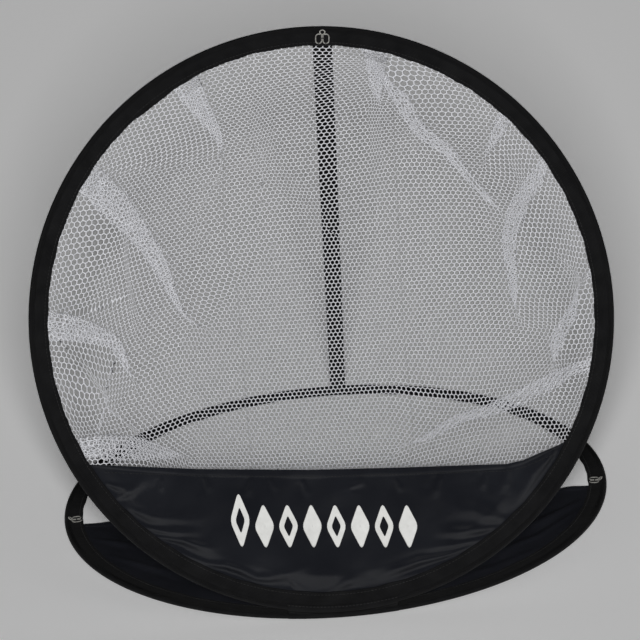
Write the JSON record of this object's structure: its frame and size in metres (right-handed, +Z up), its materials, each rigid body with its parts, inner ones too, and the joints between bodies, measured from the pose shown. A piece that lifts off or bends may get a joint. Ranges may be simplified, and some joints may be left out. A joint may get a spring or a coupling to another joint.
{
  "type": "golf chipping net",
  "caption": "Pop-up golf chipping net: target hoop with a slack net pocket and cloth lip, leaning over a flat base hoop on a sewn hinge, held by a rear strap; folds flat.",
  "frame": {"origin": "on the ground at the centre of the base hoop", "axes": "+Z up; the open mouth faces -Y; +X to the right seen from the front"},
  "size_m": [0.508, 0.5088, 0.4736],
  "materials": {
    "binding_tape": "matt black ribbed polyester tape",
    "floor_cloth": "black nylon, slight sheen",
    "lip_cloth": "black nylon, soft sheen, creased",
    "white_net": "white knitted polyester net",
    "strap_webbing": "black woven webbing",
    "spring_steel": "blued spring steel strip",
    "crimped_sleeve": "plated steel sleeve",
    "hook_wire": "nickel-plated wire"
  },
  "bodies": {
    "base": {"base_steel": "spring_steel", "base_sleeve": "crimped_sleeve", "base_binding": "binding_tape", "floor_panel": "floor_cloth", "left_hook": "hook_wire", "right_hook": "hook_wire", "rear_strap": "strap_webbing", "hinge_tape": "binding_tape"},
    "target": {"target_steel": "spring_steel", "target_sleeve": "crimped_sleeve", "target_binding": "binding_tape", "lip_panel": "lip_cloth", "net_pocket": "white_net", "top_hook": "hook_wire"}
  },
  "joints": [
    {"name": "hoop_fold", "type": "hinge", "parent": "base", "child": "target", "pos_m": [0, -0.24977, 0.0049], "axis": [-1, 0, 0], "range_deg": [0, 64], "stiffness_Nm_per_rad": 0.6, "springref_deg": -34.38, "deforming": ["net_pocket", "rear_strap", "hinge_tape"]}
  ]
}
